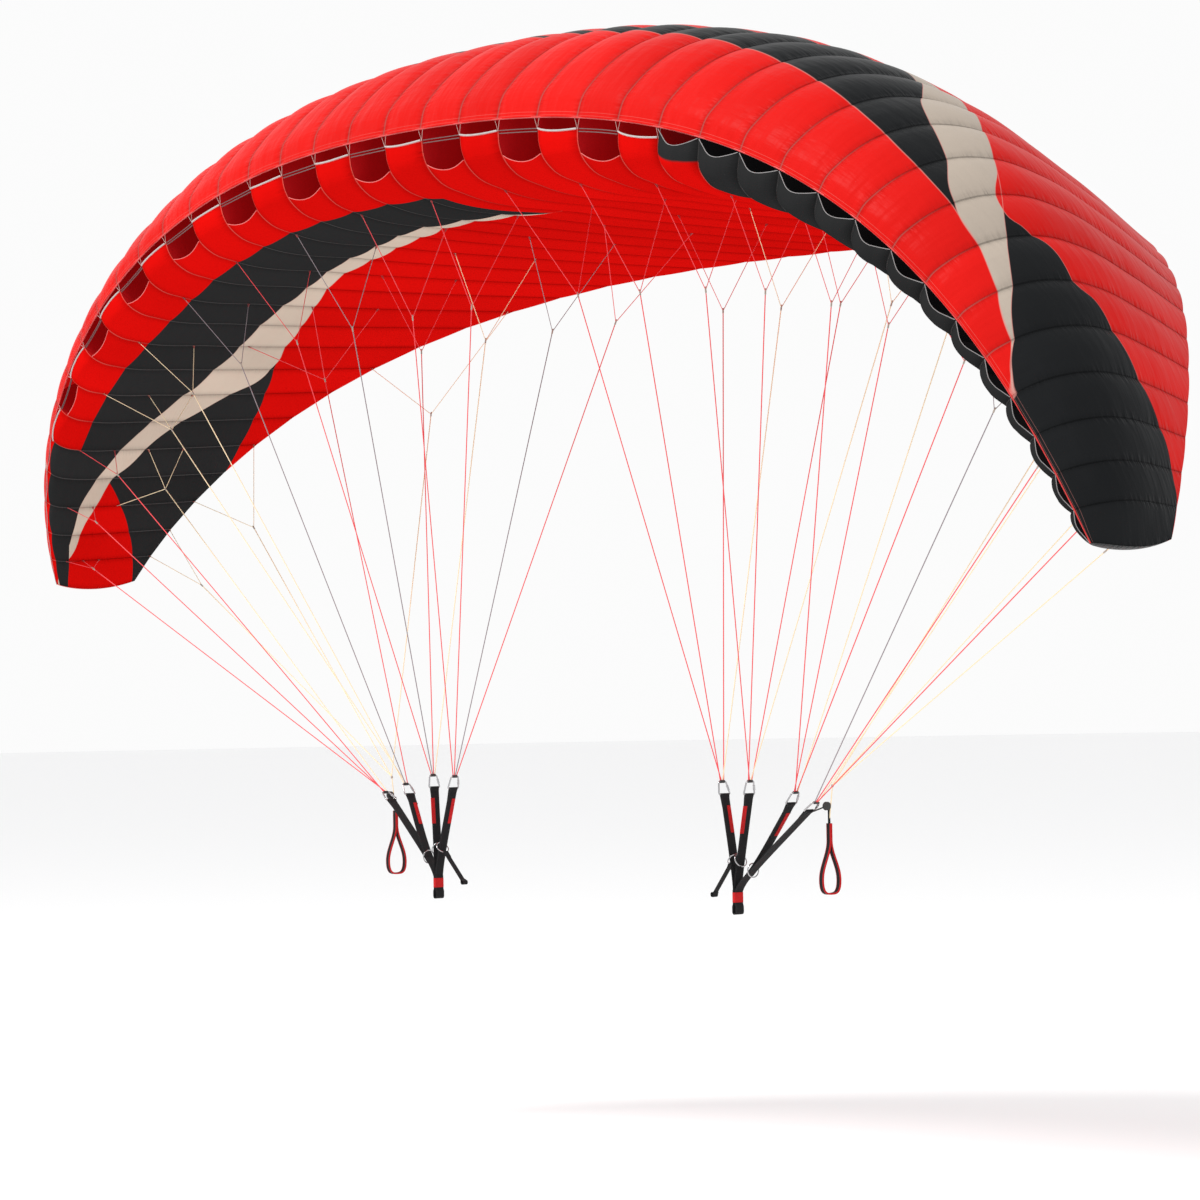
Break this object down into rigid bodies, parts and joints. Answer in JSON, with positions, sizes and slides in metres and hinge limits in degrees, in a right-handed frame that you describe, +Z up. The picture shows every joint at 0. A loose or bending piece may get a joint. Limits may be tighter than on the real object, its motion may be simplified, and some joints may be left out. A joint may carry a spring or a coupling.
{
  "type": "paraglider wing",
  "caption": "Arched ram-air canopy with open and scooped cell mouths along its nose, forked lines to webbing risers, quick links and brake handles.",
  "frame": {"origin": "middle of the leading edge lip, on the middle rib, at the mouth's upper edge", "axes": "+X along the span, +Y from the nose to the trailing edge, so the wing flies towards -Y, +Z up"},
  "size_m": [11.7408, 4.3917, 5.9174],
  "materials": {
    "sail_cloth": "coated ripstop, red with black and cream fields",
    "rib_cloth": "coated ripstop, dark red",
    "line_red": "braided sheathed line",
    "line_cream": "braided sheathed line",
    "steel": "bright stainless",
    "black_webbing": "woven webbing",
    "red_webbing": "woven webbing",
    "pulley": "moulded"
  },
  "bodies": {
    "root": {"brake_handle_left": "black_webbing", "brake_handle_right": "black_webbing", "brake_pulley_left": "pulley", "brake_pulley_right": "pulley", "hang_loop_left": "black_webbing", "hang_loop_right": "black_webbing", "inner_strap_left": "black_webbing", "inner_strap_right": "black_webbing", "lines_a_left": "line_red", "lines_a_right": "line_red", "lines_b_left": "line_red", "lines_b_right": "line_red", "lines_brake_left": "line_cream", "lines_brake_right": "line_cream", "lines_c_left": "line_red", "lines_c_right": "line_red", "lines_d_left": "line_red", "lines_d_right": "line_red", "lower_sail": "sail_cloth", "nose_left": "sail_cloth", "nose_left_tip": "sail_cloth", "nose_middle": "sail_cloth", "nose_right": "sail_cloth", "nose_right_tip": "sail_cloth", "quick_link_a_left": "steel", "quick_link_a_right": "steel", "quick_link_b_left": "steel", "quick_link_b_right": "steel", "quick_link_c_left": "steel", "quick_link_c_right": "steel", "quick_link_d_left": "steel", "quick_link_d_right": "steel", "red_band_left": "red_webbing", "red_band_right": "red_webbing", "ribs_left": "rib_cloth", "ribs_left_tip": "rib_cloth", "ribs_right": "rib_cloth", "ring_a_left": "steel", "ring_a_right": "steel", "ring_b_left": "steel", "ring_b_right": "steel", "ring_c_left": "steel", "ring_c_right": "steel", "riser_a_left": "black_webbing", "riser_a_right": "black_webbing", "riser_b_left": "black_webbing", "riser_b_right": "black_webbing", "riser_c_left": "black_webbing", "riser_c_right": "black_webbing", "riser_d_left": "black_webbing", "riser_d_right": "black_webbing", "riser_label_a_left": "red_webbing", "riser_label_a_right": "red_webbing", "riser_label_b_left": "red_webbing", "riser_label_b_right": "red_webbing", "riser_label_c_left": "red_webbing", "riser_label_c_right": "red_webbing", "tip_panel_left": "sail_cloth", "tip_panel_right": "sail_cloth", "upper_sail": "sail_cloth"}
  },
  "joints": []
}
